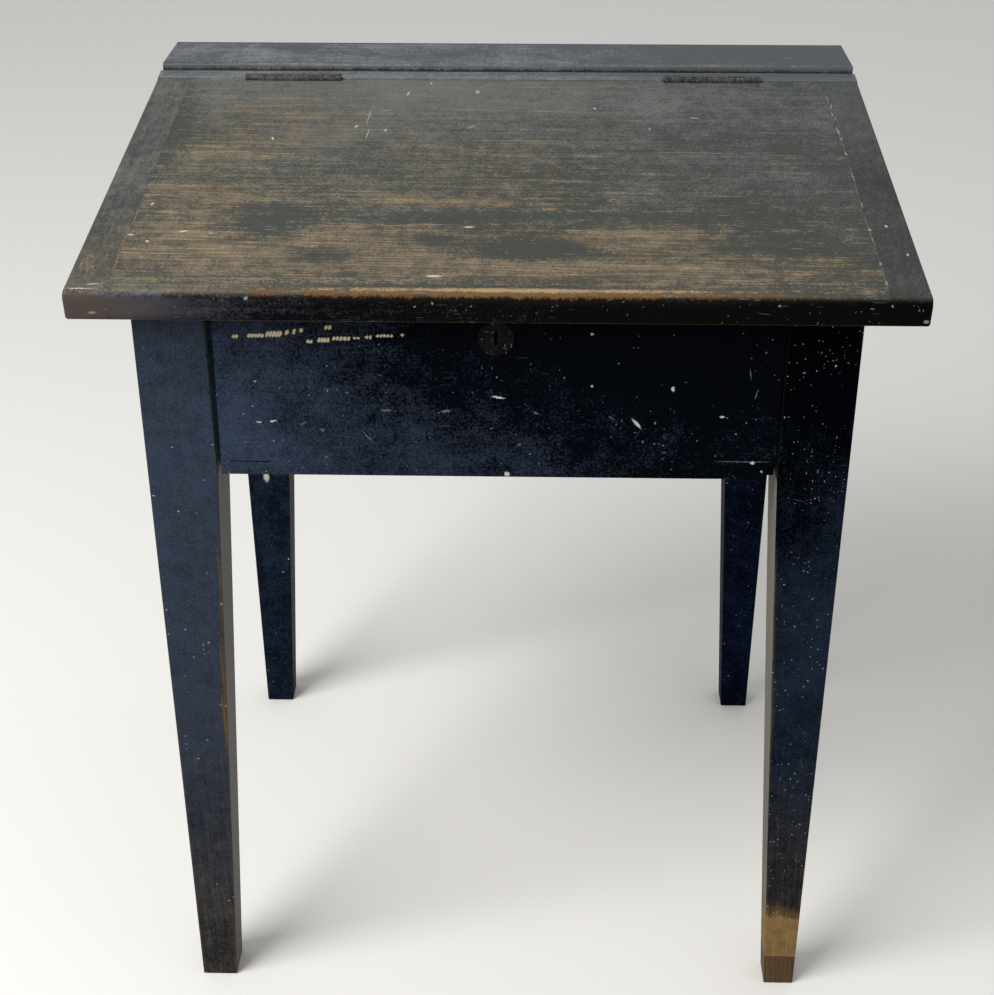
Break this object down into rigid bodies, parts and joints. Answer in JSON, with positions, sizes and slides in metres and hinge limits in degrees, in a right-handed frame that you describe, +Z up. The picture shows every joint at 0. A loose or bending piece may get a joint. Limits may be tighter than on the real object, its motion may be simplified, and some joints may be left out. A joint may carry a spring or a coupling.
{
  "type": "school desk",
  "caption": "Worn painted school desk: a sloping lift lid with cleated ends over a book well, hinged to a rail and flat top board at the back, on legs tapered inside.",
  "frame": {"origin": "on the floor under the middle of the desk's box", "axes": "+Z up, +Y to the back where the hinges are, +X to the sitter's right"},
  "size_m": [0.69, 0.5242, 0.8133],
  "materials": {
    "blue_black_paint": "worn blue-black paint on wood",
    "rubbed_black_paint": "black paint rubbed through to the grain",
    "grey_black_paint": "black paint with a grey sheen",
    "bare_wood": "bare aged softwood",
    "brown_wood": "brown stained wood",
    "rusted_iron": "rusted iron",
    "painted_iron": "iron under worn paint",
    "lock_iron": "dull dark iron",
    "fastener_iron": "dull rusted iron"
  },
  "bodies": {
    "frame": {"front_left_leg": "blue_black_paint", "front_right_leg": "blue_black_paint", "back_left_leg": "blue_black_paint", "back_right_leg": "blue_black_paint", "front_right_foot_tip": "brown_wood", "front_apron": "blue_black_paint", "back_apron": "blue_black_paint", "left_apron": "blue_black_paint", "right_apron": "blue_black_paint", "apron_slip": "blue_black_paint", "front_ledger": "bare_wood", "back_ledger": "bare_wood", "left_ledger": "bare_wood", "right_ledger": "bare_wood", "ledger_nails": "fastener_iron", "well_board_1": "bare_wood", "well_board_2": "bare_wood", "well_board_3": "bare_wood", "well_board_4": "bare_wood", "well_board_5": "bare_wood", "well_nails": "fastener_iron", "top_board": "grey_black_paint", "top_board_nails": "fastener_iron", "hinge_rail": "grey_black_paint", "left_hinge_rail_leaf": "rusted_iron", "right_hinge_rail_leaf": "rusted_iron", "left_hinge_pin": "rusted_iron", "right_hinge_pin": "rusted_iron", "left_rail_leaf_screws": "fastener_iron", "right_rail_leaf_screws": "fastener_iron", "lock_plate": "lock_iron", "lock_case": "lock_iron", "key_pin": "lock_iron", "lock_screws": "fastener_iron", "escutcheon": "painted_iron", "escutcheon_pins": "painted_iron"},
    "lid": {"lid_front_board": "rubbed_black_paint", "lid_middle_board": "rubbed_black_paint", "lid_back_board": "rubbed_black_paint", "lid_left_cleat": "rubbed_black_paint", "lid_right_cleat": "rubbed_black_paint", "left_hinge_lid_leaf": "rusted_iron", "right_hinge_lid_leaf": "rusted_iron", "left_lid_leaf_screws": "fastener_iron", "right_lid_leaf_screws": "fastener_iron", "link_plate": "lock_iron", "link_screws": "fastener_iron"},
    "bolt": {"lock_bolt": "lock_iron"}
  },
  "joints": [
    {"name": "lid_hinge", "type": "hinge", "parent": "frame", "child": "lid", "pos_m": [0, 0.15983, 0.80473], "axis": [-1, 0, 0], "range_deg": [0, 168]},
    {"name": "bolt_slide", "type": "slide", "parent": "frame", "child": "bolt", "axis": [1, 0, 0], "range_m": [0, 0.0065]}
  ]
}
